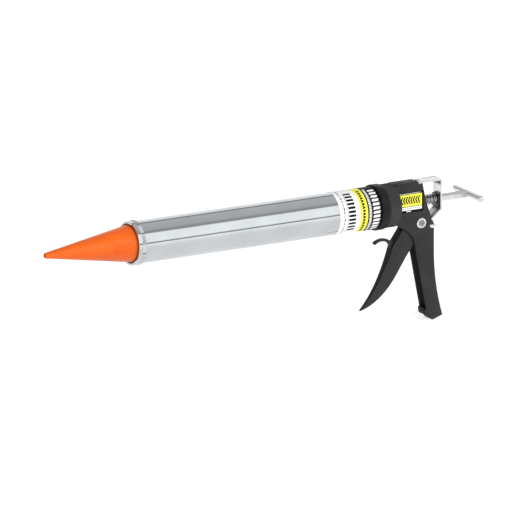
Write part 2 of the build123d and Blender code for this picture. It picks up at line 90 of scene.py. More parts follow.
def add_node(material, kind, **values):
    """A node in the material's tree, with its settings or its inputs given by name."""
    node = material.node_tree.nodes.new(kind)
    for name, value in values.items():
        if hasattr(node, name):
            setattr(node, name, value)
        else:
            node.inputs[name.replace("_", " ")].default_value = value
    return node


def connect(material, source, target):
    material.node_tree.links.new(source, target)


def object_coordinates(material):
    return add_node(material, "ShaderNodeTexCoord").outputs["Object"]


def noise(material, scale, detail=3.0, stretch=(1, 1, 1)):
    """Noise read from object coordinates, drawn out along the axes where stretch is small."""
    mapping = add_node(material, "ShaderNodeMapping")
    mapping.inputs["Scale"].default_value = stretch
    texture = add_node(material, "ShaderNodeTexNoise", Scale=scale, Detail=detail)
    connect(material, object_coordinates(material), mapping.inputs["Vector"])
    connect(material, mapping.outputs["Vector"], texture.inputs["Vector"])
    return texture.outputs["Fac"]


def vary_color(material, shader, fac, dark, light, low=0.35, high=0.65):
    ramp = add_node(material, "ShaderNodeValToRGB")
    ramp.color_ramp.elements[0].position = low
    ramp.color_ramp.elements[0].color = (*dark, 1)
    ramp.color_ramp.elements[1].position = high
    ramp.color_ramp.elements[1].color = (*light, 1)
    connect(material, fac, ramp.inputs["Fac"])
    connect(material, ramp.outputs["Color"], shader.inputs["Base Color"])


def vary_roughness(material, shader, fac, smooth, rough):
    spread = add_node(material, "ShaderNodeMapRange")
    spread.inputs["From Min"].default_value = 0.3
    spread.inputs["From Max"].default_value = 0.7
    spread.inputs["To Min"].default_value = smooth
    spread.inputs["To Max"].default_value = rough
    connect(material, fac, spread.inputs["Value"])
    connect(material, spread.outputs["Result"], shader.inputs["Roughness"])


def add_bump(material, shader, height, strength, distance):
    bump = add_node(material, "ShaderNodeBump", Strength=strength, Distance=distance)
    connect(material, height, bump.inputs["Height"])
    connect(material, bump.outputs["Normal"], shader.inputs["Normal"])


def orange_polyethylene():
    material, shader = new_material("orange_polyethylene", (0.84, 0.125, 0.006), 0.34)
    shader.inputs["Specular IOR Level"].default_value = 0.25
    flow = noise(material, 60.0, 4.0, (0.35, 1, 1))
    vary_color(material, shader, flow, (0.80, 0.110, 0.004), (0.90, 0.145, 0.007))
    # painted shade: the flange is darkened in the gap under the cap's lip
    color = shader.inputs["Base Color"].links[0].from_socket
    split = add_node(material, "ShaderNodeSeparateXYZ")
    depth = add_node(material, "ShaderNodeMapRange")
    depth.inputs["From Min"].default_value = cap_low.x
    depth.inputs["From Max"].default_value = cap_low.x + 0.8 * mm
    depth.inputs["To Min"].default_value = 1.0
    depth.inputs["To Max"].default_value = 0.12
    painted_shade_color = add_node(material, "ShaderNodeVectorMath", operation="SCALE")
    # and painted light: the colour is darker towards the underside and lighter towards the top
    under = add_node(material, "ShaderNodeMapRange")
    under.inputs["From Min"].default_value = -nozzle_base_radius
    under.inputs["From Max"].default_value = nozzle_base_radius
    under.inputs["To Min"].default_value = 0.72
    under.inputs["To Max"].default_value = 1.08
    color_scaling = add_node(material, "ShaderNodeMath", operation="MULTIPLY")
    connect(material, object_coordinates(material), split.inputs["Vector"])
    connect(material, split.outputs["X"], depth.inputs["Value"])
    connect(material, split.outputs["Z"], under.inputs["Value"])
    connect(material, depth.outputs["Result"], color_scaling.inputs[0])
    connect(material, under.outputs["Result"], color_scaling.inputs[1])
    connect(material, color, painted_shade_color.inputs[0])
    connect(material, color_scaling.outputs["Value"], painted_shade_color.inputs["Scale"])
    connect(material, painted_shade_color.outputs["Vector"], shader.inputs["Base Color"])
    vary_roughness(material, shader, noise(material, 300.0), 0.28, 0.40)
    add_bump(material, shader, noise(material, 900.0, 2.0), 0.08, 0.1 * mm)
    return material


def turned(profile, steps=96):
    """A bmesh turned about the X axis from a closed outline of (x, radius) points."""
    shape = bmesh.new()
    corners = [shape.verts.new((x, 0, radius)) for x, radius in profile]
    ring = [shape.edges.new((a, b)) for a, b in zip(corners, corners[1:] + corners[:1])]
    bmesh.ops.spin(shape, geom=corners + ring, cent=(0, 0, 0), axis=(1, 0, 0), dvec=(0, 0, 0),
                   angle=2 * pi, steps=steps, use_merge=True, use_duplicate=False)
    bmesh.ops.remove_doubles(shape, verts=shape.verts, dist=1e-6)
    bmesh.ops.recalc_face_normals(shape, faces=shape.faces)
    return shape


def round_edges(shape, width, segments=2, angle=28):
    """Bevels every edge that turns by more than the angle, in degrees."""
    sharp = [e for e in shape.edges if e.is_manifold and e.calc_face_angle() > radians(angle)]
    bmesh.ops.bevel(shape, geom=sharp, offset=width, offset_type="OFFSET", affect="EDGES",
                    segments=segments, profile=0.5, material=-1, clamp_overlap=True)


def finish_piece(name, shape, material, body, slot, *nodes):
    """Makes the object, gives it its finish, ties it to its CAD body and hides its CAD nodes; the
    slot is not used.
    """
    mesh = bpy.data.meshes.new(name)
    shape.to_mesh(mesh)
    shape.free()
    mesh.shade_smooth()
    mesh.set_sharp_from_angle(angle=radians(32))
    mesh.materials.append(material)
    piece = bpy.data.objects.new(name, mesh)
    bpy.context.scene.collection.objects.link(piece)
    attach(piece, body)
    if nodes:
        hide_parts(*nodes)
    return piece


def nozzle():
    flange_front = nozzle_high.x - nozzle_flange
    flange_radius = nozzle_high.z
    lead = 8.0 * mm
    nose = 1.4 * mm
    rounding = [(nose * (1 - cos(a)), nozzle_tip_radius - nose * (1 - sin(a)))
                for a in (radians(step) for step in (0, 22, 45, 67, 90))]
    skirt = 1.2 * mm
    skirt_taper = 0.05 * mm
    profile = [(0, nozzle_outlet_radius), *rounding,
               (cap_low.x - skirt, nozzle_base_radius - skirt_taper),
               (cap_low.x, nozzle_base_radius), (flange_front, nozzle_base_radius),
               (flange_front, flange_radius), (nozzle_high.x, flange_radius),
               (nozzle_high.x, nozzle_base_radius - nozzle_wall), (lead, nozzle_outlet_radius)]
    shape = turned(profile, 128)
    round_edges(shape, nozzle_edge)
    return shape


def box_shape(x0, x1, y0, y1, z0, z1):
    """A block between the given faces."""
    place = Matrix.Translation(((x0 + x1) / 2, (y0 + y1) / 2, (z0 + z1) / 2))
    size = Matrix.Diagonal((x1 - x0, y1 - y0, z1 - z0, 1))
    shape = bmesh.new()
    bmesh.ops.create_cube(shape, size=1.0, matrix=place @ size)
    return shape


def merge_shapes(shapes):
    """One bmesh that holds all the given ones."""
    whole = bmesh.new()
    for shape in shapes:
        mesh = bpy.data.meshes.new("part")
        shape.to_mesh(mesh)
        shape.free()
        whole.from_mesh(mesh)
        bpy.data.meshes.remove(mesh)
    return whole


def slice_along_y(shape, low, high, pitch):
    """Cuts the shape across Y so that it can be bent smoothly."""
    slices = max(1, round((high - low) / pitch))
    for index in range(1, slices):
        cut = low + (high - low) * index / slices
        bmesh.ops.bisect_plane(shape, geom=shape.verts[:] + shape.edges[:] + shape.faces[:],
                               plane_co=(0, cut, 0), plane_no=(0, 1, 0))


def wrap_round_nozzle(shape):
    """Bends a flat shape round the cone: y becomes arc length up from the near side."""
    for v in shape.verts:
        share = v.co.x / cap_low.x
        radius = nozzle_tip_radius + (nozzle_base_radius - nozzle_tip_radius) * share
        turn = v.co.y / radius
        v.co.y, v.co.z = -(radius + v.co.z) * cos(turn), (radius + v.co.z) * sin(turn)
    bmesh.ops.recalc_face_normals(shape, faces=shape.faces)
    return shape


def moulded_ribs():
    """Four low plain ribs side by side on the cone near its base."""
    setback, pitch, width = 29.5, 2.7, 1.1 * mm
    root, height = -0.3 * mm, 0.35 * mm
    ribs = []
    for index, (low, high) in enumerate(((-5.0, 7.5), (-3.5, 8.0), (-5.0, 7.5), (-4.0, 5.0))):
        front = cap_low.x - (setback - pitch * index) * mm
        rib = box_shape(front, front + width, low * mm, high * mm, root, height)
        slice_along_y(rib, low * mm, high * mm, 1.5 * mm)
        ribs.append(rib)
    return wrap_round_nozzle(merge_shapes(ribs))


def gate_pip():
    """The dark stub of the moulding gate."""
    setback, arc, lift = 11.0 * mm, 5.0 * mm, 0.02 * mm
    shape = bmesh.new()
    place = Matrix.Translation((cap_low.x - setback, arc, lift))
    bmesh.ops.create_cone(shape, cap_ends=True, segments=20, radius1=0.85 * mm,
                          radius2=0.6 * mm, depth=0.3 * mm, matrix=place)
    return wrap_round_nozzle(shape)


nozzle_orange = orange_polyethylene()
finish_piece("cone_nozzle", nozzle(), nozzle_orange, "nozzle", "nozzle_plastic", "nozzle")
finish_piece("nozzle_ribs", moulded_ribs(), nozzle_orange, "nozzle", "nozzle_plastic")
scorched, scorched_shader = new_material("scorched_gate", (0.16, 0.03, 0.008), 0.5)
vary_color(scorched, scorched_shader, noise(scorched, 900.0), (0.10, 0.02, 0.006),
           (0.22, 0.04, 0.01))
finish_piece("nozzle_gate", gate_pip(), scorched, "nozzle", "nozzle_plastic")


# ---- Front ring cap -------------------------------------------------------------------------
# A ring cap turned from aluminium and polished, with a straight knurl round its rear half.
# Its lip holds the nozzle's flange against the barrel.

knurl_ribs = 84
rib_depth = 0.5 * mm
cap_smooth_radius = cap_high.z - 0.3 * mm
cap_bore_radius = 25.46 * mm


def polished_aluminium():
    material, shader = new_material("polished_aluminium", (0.54, 0.555, 0.58), 0.05, 1.0)
    polish = noise(material, 220.0, 5.0, (0.02, 1, 1))
    vary_roughness(material, shader, polish, 0.03, 0.07)
    vary_color(material, shader, noise(material, 30.0), (0.50, 0.525, 0.545), (0.54, 0.565, 0.585))
    add_bump(material, shader, polish, 0.015, 0.02 * mm)
    return material


def cut_ribs(shape, front, rear, radius, ribs, depth):
    """Sinks every second point of the turned surface between front and rear into a groove."""
    step = pi / ribs
    for v in shape.verts:
        reach = Vector((v.co.y, v.co.z)).length
        if front < v.co.x < rear and reach > radius - 0.01 * mm:
            turn = atan2(v.co.y, v.co.z) / step
            if round(turn) % 2:
                v.co.y *= (reach - depth) / reach
                v.co.z *= (reach - depth) / reach


def front_cap():
    lip = 1.3 * mm
    opening = 23.5 * mm
    land = 0.7 * mm
    knurl = 4.4 * mm
    edge = 0.35 * mm
    knurl_rear = cap_high.x - land
    knurl_front = knurl_rear - knurl
    low, high = cap_smooth_radius, cap_high.z
    profile = [(cap_low.x, opening + edge), (cap_low.x + edge, opening), (cap_low.x + lip, opening),
               (cap_low.x + lip, cap_bore_radius), (cap_high.x, cap_bore_radius),
               (cap_high.x, low - edge), (cap_high.x - edge, low), (knurl_rear + 0.05 * mm, low),
               (knurl_rear, high), (knurl_front, high), (knurl_front - 0.05 * mm, low),
               (cap_low.x + edge, low), (cap_low.x, low - edge)]
    shape = turned(profile, 2 * knurl_ribs)
    cut_ribs(shape, knurl_front - 0.01 * mm, knurl_rear + 0.01 * mm, high, knurl_ribs, rib_depth)
    return shape


barrel_metal = polished_aluminium()
finish_piece("ring_cap", front_cap(), barrel_metal, "cap", "polished_aluminium", "front_cap")


# ---- Barrel ---------------------------------------------------------------------------------
# A drawn aluminium tube, polished outside and plain inside, bonded into the collar behind.

barrel_low, barrel_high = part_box("barrel_tube")
barrel_wall = 0.9 * mm


def barrel():
    outer = barrel_high.z
    inner = outer - barrel_wall
    edge = 0.2 * mm
    profile = [(barrel_low.x, inner), (barrel_high.x, inner), (barrel_high.x, outer),
               (barrel_low.x + edge, outer), (barrel_low.x, outer - edge)]
    return turned(profile, 128)


finish_piece("barrel", barrel(), barrel_metal, "barrel", "polished_aluminium", "barrel_tube")


# ---- Barrel label ---------------------------------------------------------------------------
# A printed film wrapped round the tube in front of the collar: a white field with a dashed
# rule and even bars, a yellow band with chevrons and a black band with ticks and stripes.

label_low, label_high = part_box("barrel_label")
label_radius = label_high.z
ink_height = 0.02 * mm
yellow_start = label_high.x - 29.0 * mm
black_start = label_high.x - 19.0 * mm


def printed_film(name, color, roughness=0.4):
    material, shader = new_material(name, color, roughness)
    shader.inputs["Specular IOR Level"].default_value = 0.06
    dark = tuple(0.93 * c for c in color)
    vary_color(material, shader, noise(material, 400.0), dark, color)
    vary_roughness(material, shader, noise(material, 150.0), roughness - 0.06, roughness + 0.08)
    add_bump(material, shader, noise(material, 1500.0, 2.0), 0.05, 0.03 * mm)
    return material


def label_band(front, rear):
    skin = label_radius - 0.2 * mm
    return turned([(front, skin), (rear, skin), (rear, label_radius), (front, label_radius)], 128)


def mark(x0, x1, arc0, arc1, slant=0.0):
    """A printed block, flat for now: x along the barrel and y round it. Slant skews it."""
    shape = box_shape(x0, x1, arc0, arc1, -0.1 * mm, ink_height)
    slice_along_y(shape, arc0, arc1, 0.8 * mm)
    for v in shape.verts:
        v.co.x += slant * (v.co.y - (arc0 + arc1) / 2)
    return shape


def wrap_round_barrel(shape):
    """Bends a flat print round the label: y becomes arc length up from the near side."""
    for v in shape.verts:
        turn = v.co.y / label_radius
        reach = label_radius + v.co.z
        v.co.y, v.co.z = -reach * cos(turn), reach * sin(turn)
    bmesh.ops.recalc_face_normals(shape, faces=shape.faces)
    return shape


def rule_marks():
    """A dashed rule right round the label."""
    dashes = 36
    pitch = 2 * pi * label_radius / dashes
    front = label_low.x + 5.5 * mm
    return [mark(front, front + (0.8 + 0.25 * (i % 3)) * mm, pitch * i, pitch * (i + 0.75))
            for i in range(dashes)]


def bar_marks():
    """Equal bars, evenly spaced on the white field, with a fine rule along their feet."""
    front = label_low.x + 11.8 * mm
    pitch = 4.8 * mm
    marks = [mark(front - 1.3 * mm, front - 0.9 * mm, -22 * mm, 32 * mm)]
    marks += [mark(front, front + 9.5 * mm, pitch * i, pitch * i + 2.8 * mm)
              for i in range(-4, 7)]
    return marks


def chevron_marks():
    """Equal arrowheads right across the yellow band."""
    front = yellow_start + 3.2 * mm
    pitch = 3.9 * mm
    marks = []
    for index in range(-7, 9):
        arc = index * pitch
        marks.append(mark(front, front + 3.2 * mm, arc, arc + 1.5 * mm, 1.2))
        marks.append(mark(front, front + 3.2 * mm, arc + 1.5 * mm, arc + 3.0 * mm, -1.2))
    return marks


def white_marks():
    """A row of small ticks and a row of equal slanted stripes on the black band."""
    small = black_start + 1.8 * mm
    large = black_start + 7.6 * mm
    tick_pitch = 1.8 * mm
    stripe_pitch = 4.9 * mm
    marks = [mark(small, small + 3.4 * mm, tick_pitch * i, tick_pitch * i + 1.15 * mm)
             for i in range(-14, 20)]
    marks += [mark(large, large + 8.8 * mm, stripe_pitch * i, stripe_pitch * i + 3.1 * mm, 0.35)
              for i in range(-5, 7)]
    return marks


film_white = printed_film("film_white", (0.90, 0.90, 0.90))
film_yellow = printed_film("film_yellow", (0.90, 0.87, 0.09))
film_black = printed_film("film_black", (0.004, 0.004, 0.004))
ink_black = printed_film("ink_black", (0.006, 0.006, 0.007))
ink_white = printed_film("ink_white", (0.90, 0.90, 0.90))
finish_piece("label_white_field", label_band(label_low.x, yellow_start), film_white, "barrel",
             "label_print", "barrel_label")
finish_piece("label_yellow_band", label_band(yellow_start, black_start), film_yellow, "barrel",
             "label_print")
finish_piece("label_black_band", label_band(black_start, label_high.x), film_black, "barrel",
             "label_print")
finish_piece("label_black_marks",
             wrap_round_barrel(merge_shapes(rule_marks() + bar_marks() + chevron_marks())),
             ink_black, "barrel", "label_print")
finish_piece("label_white_marks", wrap_round_barrel(merge_shapes(white_marks())), ink_white,
             "barrel", "label_print")


# ---- Rear collar ----------------------------------------------------------------------------
# A black coated ring that holds the barrel's end. Its plain lip covers the tube, and the
# ribbed sleeve behind it turns on the handle's boss.

collar_low, collar_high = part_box("rear_collar")
collar_ribs = 76
collar_lip_rear = collar_low.x + 11.0 * mm
collar_sleeve_radius = 26.16 * mm
boss_radius = 23.0 * mm


def black_coating(name, color, roughness, grain, depth):
    """Powder coat: a fine orange peel with slightly worn, shinier patches."""
    material, shader = new_material(name, color, roughness)
    shader.inputs["Specular IOR Level"].default_value = 0.12
    peel = noise(material, grain, 3.0)
    lighter = tuple(1.25 * c for c in color)
    vary_color(material, shader, noise(material, 45.0), color, lighter)
    vary_roughness(material, shader, noise(material, 90.0), roughness - 0.05, roughness + 0.08)
    add_bump(material, shader, peel, 0.25, depth)
    return material


def rear_collar():
    lip = collar_high.z
    edge = 1.1 * mm
    rear_edge = 0.5 * mm
    socket = barrel_high.z + 0.02 * mm
    low = collar_sleeve_radius - 0.35 * mm
    band_front = collar_lip_rear + 0.9 * mm
    band_rear = collar_high.x - 0.8 * mm
    curve = [(collar_low.x + edge * (1 - sin(a)), lip - edge * (1 - cos(a)))
             for a in (radians(step) for step in (90, 67, 45, 22, 0))]
    step = barrel_high.x + 1.6 * mm
    profile = [(collar_low.x, socket), *curve, (collar_lip_rear - edge, lip),
               (collar_lip_rear - 0.3 * mm, lip - 0.4 * mm), (collar_lip_rear, low),
               (band_front - 0.05 * mm, low), (band_front, collar_sleeve_radius),
               (band_rear, collar_sleeve_radius), (band_rear + 0.05 * mm, low),
               (collar_high.x - rear_edge, low), (collar_high.x, low - rear_edge),
               (collar_high.x, boss_radius + 0.06 * mm), (step, boss_radius + 0.06 * mm),
               (step, boss_radius + 1.2 * mm), (barrel_high.x, boss_radius + 1.2 * mm),
               (barrel_high.x, socket)]
    shape = turned(profile, 2 * collar_ribs)
    cut_ribs(shape, band_front - 0.01 * mm, band_rear + 0.01 * mm, collar_sleeve_radius,
             collar_ribs, rib_depth)
    return shape


def collar_coating():
    """Gloss black on the lip; on the ribbed sleeve behind it the colour is 3.6 times lighter, a
    dull grey.
    """
    material = black_coating("collar_black", (0.010, 0.010, 0.011), 0.36, 1400.0, 0.03 * mm)
    shader = material.node_tree.nodes["Principled BSDF"]
    color = shader.inputs["Base Color"].links[0].from_socket
    split = add_node(material, "ShaderNodeSeparateXYZ")
    sleeve_tone = add_node(material, "ShaderNodeMapRange")
    sleeve_tone.inputs["From Min"].default_value = collar_lip_rear
    sleeve_tone.inputs["From Max"].default_value = collar_lip_rear + 1.5 * mm
    sleeve_tone.inputs["To Min"].default_value = 1.0
    sleeve_tone.inputs["To Max"].default_value = 3.6
    color_scaling = add_node(material, "ShaderNodeVectorMath", operation="SCALE")
    connect(material, object_coordinates(material), split.inputs["Vector"])
    connect(material, split.outputs["X"], sleeve_tone.inputs["Value"])
    connect(material, color, color_scaling.inputs[0])
    connect(material, sleeve_tone.outputs["Result"], color_scaling.inputs["Scale"])
    connect(material, color_scaling.outputs["Vector"], shader.inputs["Base Color"])
    return material


collar_black = collar_coating()
finish_piece("barrel_collar", rear_collar(), collar_black, "barrel", "black_collar", "rear_collar")


# ---- Handle casting -------------------------------------------------------------------------
# One aluminium casting: the boss for the collar, the box round the drive and the channel grip.
# It is powder coated black, and its edges are rounded by the casting and the coat.

handle_edge = 0.7 * mm


def rounded_copy(node, width, segments=2, angle=28):
    """The node's own shape with its flat faces joined up and its sharp edges rounded."""
    shape = bmesh.new()
    shape.from_mesh(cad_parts[node].data)
    bmesh.ops.remove_doubles(shape, verts=shape.verts, dist=2e-6)
    bmesh.ops.dissolve_limit(shape, angle_limit=radians(1.0), use_dissolve_boundaries=False,
                             verts=shape.verts, edges=shape.edges, delimit={"NORMAL"})
    round_edges(shape, width, segments, angle)
    return shape


def casting_coating():
    """Black powder coat with painted light: faces that look along Y keep the coat's dark grey, and
    all other faces are darkened to deep black, as if lit from the side.
    """
    material = black_coating("casting_black", (0.027, 0.027, 0.028), 0.46, 1100.0, 0.05 * mm)
    shader = material.node_tree.nodes["Principled BSDF"]
    color = shader.inputs["Base Color"].links[0].from_socket
    faces = add_node(material, "ShaderNodeTexCoord")
    split = add_node(material, "ShaderNodeSeparateXYZ")
    side = add_node(material, "ShaderNodeMath", operation="ABSOLUTE")
    # painted light: the colour is scaled by how far each face looks along Y
    side_light = add_node(material, "ShaderNodeMapRange")
    side_light.inputs["From Min"].default_value = 0.75
    side_light.inputs["From Max"].default_value = 0.97
    side_light.inputs["To Min"].default_value = 0.22
    side_light.inputs["To Max"].default_value = 1.0
    side_lit_color = add_node(material, "ShaderNodeVectorMath", operation="SCALE")
    connect(material, faces.outputs["Normal"], split.inputs["Vector"])
    connect(material, split.outputs["Y"], side.inputs[0])
    connect(material, side.outputs["Value"], side_light.inputs["Value"])
    connect(material, color, side_lit_color.inputs[0])
    connect(material, side_light.outputs["Result"], side_lit_color.inputs["Scale"])
    connect(material, side_lit_color.outputs["Vector"], shader.inputs["Base Color"])
    return material


casting_black = casting_coating()
finish_piece("handle_casting", rounded_copy("handle_housing", handle_edge), casting_black,
             "handle", "black_casting", "handle_housing")


# ---- Side label -----------------------------------------------------------------------------
# A printed sticker on the box's side: black ground, a yellow panel with a row of chevrons, a
# white strip below it and fine marks on the black edges.

side_low, side_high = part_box("side_label")
side_face = side_low.y
sticker_print = (0.9, 32.1)


def sticker_patch(x0, x1, z0, z1, layer, slant=0.0):
    """A flat printed patch on the sticker, in mm from its lower front corner."""
    front = side_low.x + x0 * mm
    low = side_low.z + z0 * mm
    shape = box_shape(front, side_low.x + x1 * mm, side_face - layer * ink_height, side_face,
                      low, side_low.z + z1 * mm)
    for v in shape.verts:
        v.co.x += slant * (v.co.z - low)
    return shape


def sticker_chevrons():
    """A row of equal chevrons, evenly spaced, pointing at the nozzle."""
    foot, middle, top = 10.4, 14.9, 19.4
    width, pitch, slope = 1.9, 3.3, 0.5
    sweep = slope * (middle - foot)
    chevrons = []
    for index in range(8):
        front = 2.9 + pitch * index
        tail = front + sweep
        chevrons.append(sticker_patch(tail, tail + width, foot, middle, 2, -slope))
        chevrons.append(sticker_patch(front, front + width, middle, top, 2, slope))
    return chevrons


def sticker_small_marks():
    """A short dash on the lower black edge and a row of fine ticks on the upper one."""
    marks = [sticker_patch(11.0, 17.0, 0.9, 1.9, 2)]
    marks += [sticker_patch(2.0 + 1.5 * i, 3.0 + 1.5 * i, 22.9, 23.6, 2) for i in range(19)]
    return marks


def sticker_strip_marks():
    """A row of fine dashes on the white strip."""
    return [sticker_patch(4.0 + 2.6 * i, 5.8 + 2.6 * i, 4.6, 5.2, 2) for i in range(10)]


finish_piece("sticker_ground", box_shape(side_low.x, side_high.x, side_low.y, side_high.y,
                                         side_low.z, side_high.z),
             film_black, "handle", "label_print", "side_label")
finish_piece("sticker_panel", sticker_patch(*sticker_print, 7.4, 22.0, 1), film_yellow, "handle",
             "label_print")
finish_piece("sticker_strip", sticker_patch(*sticker_print, 2.9, 6.7, 1), film_white, "handle",
             "label_print")
finish_piece("sticker_dark_marks", merge_shapes(sticker_chevrons() + sticker_strip_marks()),
             ink_black, "handle", "label_print")
finish_piece("sticker_pale_marks", merge_shapes(sticker_small_marks()), ink_white, "handle",
             "label_print")


# ---- Trigger --------------------------------------------------------------------------------
# A cast channel lever with its hanging hook, coated like the handle. It turns on a bush
# between the housing's walls and presses the drive plates with a steel roller.

trigger_edge = 1.3 * mm
finish_piece("trigger_lever", rounded_copy("trigger", trigger_edge, 3), casting_black, "trigger",
             "black_casting", "trigger")


# ---- Rear frame -----------------------------------------------------------------------------
# A strap of bright plated steel, bent round the brake and held by one screw on the box's top.


def plated_steel():
    material, shader = new_material("plated_steel", (0.62, 0.63, 0.64), 0.22, 1.0)
    grain = noise(material, 500.0, 3.0, (0.3, 1, 1))
    vary_roughness(material, shader, grain, 0.12, 0.26)
    vary_color(material, shader, noise(material, 80.0), (0.58, 0.59, 0.60), (0.68, 0.69, 0.70))
    add_bump(material, shader, grain, 0.03, 0.03 * mm)
    return material


def darken_with_painted_shade(material, limits, start, end):
    """Darkens the colour towards the top between two heights, on the faces in front of a limit
    along X and below a ceiling; on the strap this is painted shade, on the lever a darker finish
    with painted shade.
    """
    shader = material.node_tree.nodes["Principled BSDF"]
    color = shader.inputs["Base Color"].links[0].from_socket
    split = add_node(material, "ShaderNodeSeparateXYZ")
    rise = add_node(material, "ShaderNodeMapRange")
    rise.inputs["From Min"].default_value = start
    rise.inputs["From Max"].default_value = end
    ceiling = add_node(material, "ShaderNodeMath", operation="LESS_THAN")
    ceiling.inputs[1].default_value = limits[1]
    front = add_node(material, "ShaderNodeMath", operation="LESS_THAN")
    front.inputs[1].default_value = limits[0]
    both = add_node(material, "ShaderNodeMath", operation="MULTIPLY")
    darkening_mask = add_node(material, "ShaderNodeMath", operation="MULTIPLY")
    darkening_scale = add_node(material, "ShaderNodeMapRange")
    darkening_scale.inputs["To Min"].default_value = 1.0
    darkening_scale.inputs["To Max"].default_value = 0.07
    darker_steel = add_node(material, "ShaderNodeVectorMath", operation="SCALE")
    connect(material, object_coordinates(material), split.inputs["Vector"])
    connect(material, split.outputs["Z"], rise.inputs["Value"])
    connect(material, split.outputs["Z"], ceiling.inputs[0])
    connect(material, split.outputs["X"], front.inputs[0])
    connect(material, ceiling.outputs["Value"], both.inputs[0])
    connect(material, front.outputs["Value"], both.inputs[1])
    connect(material, both.outputs["Value"], darkening_mask.inputs[0])
    connect(material, rise.outputs["Result"], darkening_mask.inputs[1])
    connect(material, darkening_mask.outputs["Value"], darkening_scale.inputs["Value"])
    connect(material, color, darker_steel.inputs[0])
    connect(material, darkening_scale.outputs["Result"], darker_steel.inputs["Scale"])
    connect(material, darker_steel.outputs["Vector"], shader.inputs["Base Color"])
    return material


zinc = plated_steel()
strap_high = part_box("rear_frame")[1]
strap_thickness = 2.0 * mm
strap_edge = 0.35 * mm
screw_edge = 0.2 * mm
bend = (strap_high.x - strap_thickness + 0.2 * mm, strap_high.z - strap_thickness + 0.1 * mm)
# painted shade: the inside of the strap's upper bend is darkened, where the box and the spring
# shade it
strap_zinc_shaded = darken_with_painted_shade(plated_steel(), bend, strap_high.z - 9.0 * mm, strap_high.z - 5.5 * mm)
finish_piece("rear_strap", rounded_copy("rear_frame", strap_edge), strap_zinc_shaded, "handle",
             "plated_steel", "rear_frame")
finish_piece("strap_screw", rounded_copy("frame_screw", screw_edge), zinc, "handle", "plated_steel",
             "frame_screw")


# ---- Release lever --------------------------------------------------------------------------
# The brake plate round the rod and its shank are stamped from one steel strip. The thumb pad
# comes out at the back of the grip.

lever_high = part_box("release_lever")[1]
lever_edge = 0.3 * mm
# the lever's upper part is darkened: a darker finish on the brake plate, with painted shade from
# the spring and box round it
lever_zinc_shaded = darken_with_painted_shade(plated_steel(), (lever_high.x + 1 * mm, lever_high.z + 1 * mm),
                           lever_high.z - 19.0 * mm, lever_high.z - 16.0 * mm)
finish_piece("brake_lever", rounded_copy("release_lever", lever_edge), lever_zinc_shaded, "release",
             "plated_steel", "release_lever")


# ---- Springs --------------------------------------------------------------------------------
# Two compression springs of plain drawn wire with closed ends. One returns the drive plates
# and the trigger, and the other holds the brake plate back.

wire = 1.3 * mm
drive_turns = 7.0
brake_turns = 5.5


def spring_wire_steel():
    material, shader = new_material("spring_wire", (0.42, 0.43, 0.45), 0.32, 1.0)
    vary_roughness(material, shader, noise(material, 700.0), 0.26, 0.42)
    vary_color(material, shader, noise(material, 120.0), (0.36, 0.37, 0.39), (0.50, 0.51, 0.53))
    return material


def coil_spring(node, turns):
    """Wire wound by spinning a round section along the axis, with a closed coil at each end."""
    low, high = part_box(node)
    mean = high.z - wire / 2
    closed = 1.0
    steps = 28
    length = high.x - low.x - wire
    pitch_end = wire * 1.02
    pitch_mid = (length - 2 * closed * pitch_end) / (turns - 2 * closed)
    shape = bmesh.new()
    start = Matrix.Translation((low.x + wire / 2, 0, mean)) @ Matrix.Rotation(pi / 2, 4, "X")
    section = bmesh.ops.create_circle(shape, cap_ends=False, radius=wire / 2, segments=14,
                                      matrix=start)["verts"]
    last = section + list({e for v in section for e in v.link_edges})
    for count, pitch in ((closed, pitch_end), (turns - 2 * closed, pitch_mid),
                         (closed, pitch_end)):
        total = round(count * steps)
        last = bmesh.ops.spin(shape, geom=last, cent=(0, 0, 0), axis=(1, 0, 0),
                              dvec=(pitch * count / total, 0, 0), angle=2 * pi * count,
                              steps=total, use_merge=False, use_duplicate=False)["geom_last"]
    bmesh.ops.holes_fill(shape, edges=shape.edges, sides=0)
    bmesh.ops.recalc_face_normals(shape, faces=shape.faces)
    return shape


drawn_wire = spring_wire_steel()
drive_coil = finish_piece("drive_coil", coil_spring("drive_spring", drive_turns), drawn_wire,
                          "handle", "spring_steel", "drive_spring")
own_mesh(drive_coil)
brake_coil = finish_piece("brake_coil", coil_spring("brake_spring", brake_turns), drawn_wire,
                          "handle", "spring_steel", "brake_spring")
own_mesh(brake_coil)


# ---- Rod and pull bar -----------------------------------------------------------------------
# A bright drawn hexagonal bar. Its rear end is riveted through a plain round cross bar.


def bright_steel():
    material, shader = new_material("bright_steel", (0.66, 0.66, 0.67), 0.2, 1.0)
    draw = noise(material, 900.0, 3.0, (0.015, 1, 1))
    vary_roughness(material, shader, draw, 0.14, 0.28)
    vary_color(material, shader, noise(material, 60.0), (0.62, 0.62, 0.63), (0.70, 0.70, 0.71))
    add_bump(material, shader, draw, 0.05, 0.02 * mm)
    return material


def pull_bar():
    low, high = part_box("t_bar")
    radius = (high.z - low.z) / 2
    edge = 0.7 * mm
    half = high.y
    profile = [(-half, 0.0), (-half, radius - edge), (-half + edge, radius),
               (half - edge, radius), (half, radius - edge), (half, 0.0)]
    shape = turned(profile, 48)
    bmesh.ops.rotate(shape, verts=shape.verts, cent=(0, 0, 0),
                     matrix=Matrix.Rotation(pi / 2, 3, "Z"))
    bmesh.ops.translate(shape, verts=shape.verts, vec=((low.x + high.x) / 2, 0, 0))
    return shape


rod_edge = 0.25 * mm
drawn_steel = bright_steel()
finish_piece("push_rod", rounded_copy("rod", rod_edge), drawn_steel, "rod", "bright_steel", "rod")
finish_piece("pull_bar", pull_bar(), drawn_steel, "rod", "bright_steel", "t_bar")


# ---- Pivot ----------------------------------------------------------------------------------
# A bolt through both walls carries the trigger's bush. Its head and its nut sit in bright
# cup washers.


